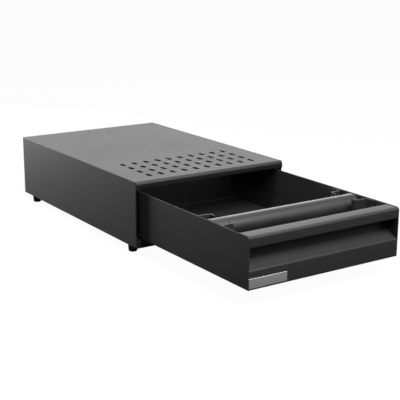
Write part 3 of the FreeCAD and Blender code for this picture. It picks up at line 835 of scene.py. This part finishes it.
def make_sleeve(finishes):
    """Rubber sleeve: a tube with rounded ends, pressed on the rod."""
    low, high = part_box("knock_bar_sleeve")
    rod_low, rod_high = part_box("knock_bar_rod")
    radius = (high.z - low.z) / 2
    bore = (rod_high.z - rod_low.z) / 2
    half = (high.x - low.x) / 2
    edge = SLEEVE_END_ROUND
    profile = np.concatenate([
        [[bore, -half]],
        arc((radius - edge, edge - half), edge, -90, 0, ROUND_STEPS)[:-1],
        profile_points(radius, np.linspace(edge - half, half - edge, SLEEVE_ROWS)),
        arc((radius - edge, half - edge), edge, 0, 90, ROUND_STEPS)[1:],
        [[bore, half]],
    ])
    piece = turned("bar_sleeve", profile, (low + high) / 2, (1, 0, 0), SLEEVE_SEGMENTS)
    place_piece(piece, finishes, "bar_rubber", "knock_bar", "knock_bar_sleeve")


def make_rod(finishes):
    """Turned steel rod with chamfered ends, each with the centre hole it was turned on."""
    low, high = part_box("knock_bar_rod")
    radius = (high.z - low.z) / 2 - ROD_PRESS
    half = (high.x - low.x) / 2
    pilot = half - CENTRE_DEPTH
    end = np.array([
        (0, pilot - CENTRE_PILOT), (CENTRE_PILOT, pilot - CENTRE_STRAIGHT), (CENTRE_PILOT, pilot),
        (CENTRE_MOUTH, half), (radius - ROD_CHAMFER, half), (radius, half - ROD_CHAMFER),
    ])
    barrel = np.linspace(half - 2 * ROD_CHAMFER, 2 * ROD_CHAMFER - half, ROD_ROWS)
    profile = np.concatenate([end, profile_points(radius, barrel), end[::-1] * (1, -1)])
    piece = turned("bar_rod", profile, (low + high) / 2, (1, 0, 0), ROD_SEGMENTS)
    place_piece(piece, finishes, "bar_steel", "knock_bar", "knock_bar_rod")


def make_feet(finishes):
    """Moulded feet: a taper with a rounded rim and a hollow under it, and a barbed stem above."""
    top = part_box("housing_floor")[0].z
    floor_top = top + SHEET
    for name in ("foot_front_left", "foot_front_right", "foot_rear_left", "foot_rear_right"):
        low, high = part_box(name)
        wide = (high.x - low.x) / 2
        rim = (wide - FOOT_TAPER - FOOT_RIM, FOOT_RIM)
        edge = (wide - FOOT_TOP_EDGE, top - FOOT_TOP_EDGE)
        tip = (FOOT_STEM - FOOT_TIP, high.z - FOOT_TIP)
        profile = np.concatenate([
            [(0, FOOT_HOLLOW), (FOOT_HOLLOW_WIDE - FOOT_HOLLOW, FOOT_HOLLOW)],
            arc((FOOT_HOLLOW_WIDE, FOOT_HOLLOW), FOOT_HOLLOW, 180, 270, ROUND_STEPS),
            arc(rim, FOOT_RIM, -90, -FOOT_DRAFT, FOOT_RIM_STEPS),
            arc(edge, FOOT_TOP_EDGE, -FOOT_DRAFT, 90, ROUND_STEPS),
            [(FOOT_STEM, top), (FOOT_STEM, floor_top), (FOOT_BARB, floor_top + FOOT_TOP_EDGE)],
            arc(tip, FOOT_TIP, FOOT_TIP_FROM, 90, ROUND_STEPS),
            [(0, high.z)],
        ])
        middle = ((low.x + high.x) / 2, (low.y + high.y) / 2, 0)
        piece = turned(f"rubber_{name}", profile, middle, (0, 0, 1), FOOT_SEGMENTS)
        place_piece(piece, finishes, "foot_rubber", "housing", name)


def make_buffers(finishes):
    """Rubber buffers inside the rear panel. Their dome stands at the square root of 1 less the
    square of the share of the radius."""
    for name in ("left_closing_buffer", "right_closing_buffer"):
        low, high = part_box(name)
        radius = (high.x - low.x) / 2
        length = high.y - low.y
        out = radius * np.cos(np.linspace(0, math.pi / 2, DOME_STEPS))
        dome = length - BUFFER_DOME + BUFFER_DOME * np.sqrt(1 - (out / radius) ** 2)
        out[-1] = 0
        edge = (radius - BUFFER_EDGE, BUFFER_EDGE)
        skirt = arc(edge, BUFFER_EDGE, -90, 0, BUFFER_EDGE_STEPS)
        profile = np.concatenate([[(0, 0)], skirt, profile_points(out, dome)])
        middle = ((low.x + high.x) / 2, high.y, (low.z + high.z) / 2)
        piece = turned(f"rubber_{name}", profile, middle, (0, -1, 0), BUFFER_SEGMENTS)
        place_piece(piece, finishes, "foot_rubber", "housing", name)


def rounded_outline(half_wide, half_high, radius, steps):
    """Points round a rectangle: each corner's centre plus the radius times (cos t, sin t)."""
    loops = []
    for turn, (across, up) in enumerate(((1, 1), (-1, 1), (-1, -1), (1, -1))):
        centre = (across * (half_wide - radius), up * (half_high - radius))
        loops.append(arc(centre, radius, 90 * turn, 90 * turn + 90, steps))
    return np.concatenate(loops)


def make_badge(finishes):
    """Bare plate stuck to the front, stamped from sheet, with its edge eased on the front side:
    each row is the outline, drawn in by one less than the cosine as the sine brings it forward."""
    low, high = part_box("badge_plate")
    thick = high.y - low.y
    half_wide, half_high = (high.x - low.x) / 2, (high.z - low.z) / 2
    middle_x, middle_z = (low.x + high.x) / 2, (low.z + high.z) / 2
    turn = np.linspace(0, math.pi / 2, PLATE_EDGE_STEPS)
    drawn_in = np.concatenate([[0], PLATE_EDGE * (1 - np.cos(turn))])
    forward = np.concatenate([[0], thick - PLATE_EDGE + PLATE_EDGE * np.sin(turn)])
    rows = []
    for inset, ahead in zip(drawn_in, forward):
        wide, tall, corner = half_wide - inset, half_high - inset, PLATE_CORNER - inset
        loop = rounded_outline(wide, tall, corner, PLATE_CORNER_STEPS)
        flat = np.full(len(loop), high.y - ahead)
        rows.append(np.stack([loop[:, 0] + middle_x, flat, loop[:, 1] + middle_z], axis=-1))
    piece = capped_grid("front_plate", np.array(rows))
    place_piece(piece, finishes, "badge_metal", "drawer", "badge_plate")


def make_weld(finishes, slot, body, name, middle, axis):
    """The round mark of a spot weld: a flat a little over the sheet with a soft ring on it, whose
    height falls off as e to the power of minus the squared distance from the ring's middle,
    counted in spreads."""
    out = np.linspace(0, WELD_RADIUS, WELD_STEPS)
    height = WELD_FLAT + WELD_RING * np.exp(-((out - WELD_RING_AT) / WELD_RING_SPREAD) ** 2)
    height[-1] = -WELD_FLAT
    profile = np.concatenate([profile_points(out, height), [(0, -WELD_FLAT)]])
    piece = turned(name, profile, middle, axis, WELD_SEGMENTS)
    place_piece(piece, finishes, slot, body)


def make_welds(finishes):
    """Spot welds that hold the cradles to the drawer's sides and the channels to the housing."""
    for word, inward in (("left", 1), ("right", -1)):
        axis = (inward, 0, 0)
        low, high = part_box(f"{word}_bar_cradle")
        face = (low.x if inward > 0 else high.x) + inward * CRADLE_SHEET
        ends = (("front", low.y + CRADLE_WELD_INSET), ("rear", high.y - CRADLE_WELD_INSET))
        levels = (("low", low.z + CRADLE_WELD_INSET), ("high", high.z - CRADLE_WELD_INSET_TOP))
        for end, y in ends:
            for level, z in levels:
                name = f"weld_{word}_cradle_{end}_{level}"
                make_weld(finishes, "black_coat", "drawer", name, (face, y, z), axis)
        low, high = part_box(f"{word}_guide_channel")
        face = (low.x if inward > 0 else high.x) + inward * CHANNEL_SHEET
        first, last = low.y + CHANNEL_WELD_INSET, high.y - CHANNEL_WELD_INSET
        for count, y in enumerate(np.linspace(first, last, CHANNEL_WELDS)):
            name = f"weld_{word}_channel_{count}"
            middle = (face, y, (low.z + high.z) / 2)
            make_weld(finishes, "zinc_steel", "housing", name, middle, axis)


def background_light(nodes, to_camera, to_mirrors):
    """How bright the white background is to each ray: to those from the camera or through glass,
    and to those that the pieces mirror. Then whether a ray is one of the first kind."""
    path = nodes.add("ShaderNodeLightPath").outputs
    plain = nodes.math("MAXIMUM", path["Is Camera Ray"], path["Is Transmission Ray"])
    mirrored = nodes.math("MULTIPLY", path["Is Glossy Ray"], to_mirrors)
    return nodes.math("MAXIMUM", nodes.math("MULTIPLY", plain, to_camera), mirrored), plain


def make_floor():
    """Floor that is white to the camera and nearly black to the lamps."""
    data = bpy.data.meshes.new("floor")
    corners = [(-1, -1), (1, -1), (1, 1), (-1, 1)]
    points = [(x * FLOOR_REACH, y * FLOOR_REACH, 0) for x, y in corners]
    data.from_pydata(points, [], [(0, 1, 2, 3)])
    floor = new_object("floor", data)
    made = bpy.data.materials.new("studio_floor")
    made.use_nodes = True
    nodes = Nodes(made.node_tree)
    shader = made.node_tree.nodes["Principled BSDF"]
    shader.inputs["Base Color"].default_value = grey(FLOOR_TONE)
    shader.inputs["Roughness"].default_value = FLOOR_ROUGHNESS
    shader.inputs["Specular IOR Level"].default_value = 0.0
    shader.inputs["Emission Color"].default_value = grey(1.0)
    seen = background_light(nodes, FLOOR_LIFT, FLOOR_MIRRORED)[0]
    nodes.join(seen, shader.inputs["Emission Strength"])
    data.materials.append(made)


def make_world():
    """White to the camera. To the surfaces, the sum of the glows: each one's strength times the
    cosine of the angle off its middle, raised to its tightness."""
    world = bpy.data.worlds.new("studio")
    bpy.context.scene.world = world
    world.use_nodes = True
    nodes = Nodes(world.node_tree)
    background = world.node_tree.nodes["Background"]
    direction = nodes.add("ShaderNodeTexCoord").outputs["Generated"]
    total = 0.0
    for towards, tightness, strength in GLOWS:
        cosine = nodes.dot(direction, Vector(towards).normalized())
        facing = nodes.math("MAXIMUM", cosine, 0.0)
        glow = nodes.math("MULTIPLY", nodes.math("POWER", facing, tightness), strength)
        total = nodes.math("ADD", total, glow)
    seen, plain = background_light(nodes, SKY_LIFT, SKY_MIRRORED)
    unseen = nodes.math("MULTIPLY", total, nodes.math("SUBTRACT", 1.0, plain))
    nodes.join(nodes.math("ADD", unseen, seen), background.inputs["Strength"])
    background.inputs["Color"].default_value = grey(1.0)


def make_lamp(name, place, aim, size, power):
    """A soft box at a place, turned to a point."""
    data = bpy.data.lights.new(name, "AREA")
    data.shape = "RECTANGLE"
    data.size, data.size_y = size
    data.energy = power
    lamp = new_object(name, data)
    turn = (Vector(aim) - Vector(place)).to_track_quat("-Z", "Y")
    lamp.matrix_world = Matrix.Translation(Vector(place)) @ turn.to_matrix().to_4x4()


def main():
    """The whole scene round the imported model."""
    bpy.context.scene.view_settings.view_transform = "Standard"
    make_camera()
    make_floor()
    make_world()
    for lamp in LAMPS:
        make_lamp(*lamp)
    finishes = make_finishes()
    slots = {part["node"]: part["material_slot"] for part in frame["record"]["subparts"]}
    for name, node in frame["nodes"].items():
        dress(node, finishes[slots[name]])
    make_shell(finishes)
    make_front(finishes)
    make_tray(finishes)
    make_cradle(finishes, "left", 1)
    make_cradle(finishes, "right", -1)
    make_sleeve(finishes)
    make_rod(finishes)
    make_feet(finishes)
    make_buffers(finishes)
    make_badge(finishes)
    make_welds(finishes)


main()
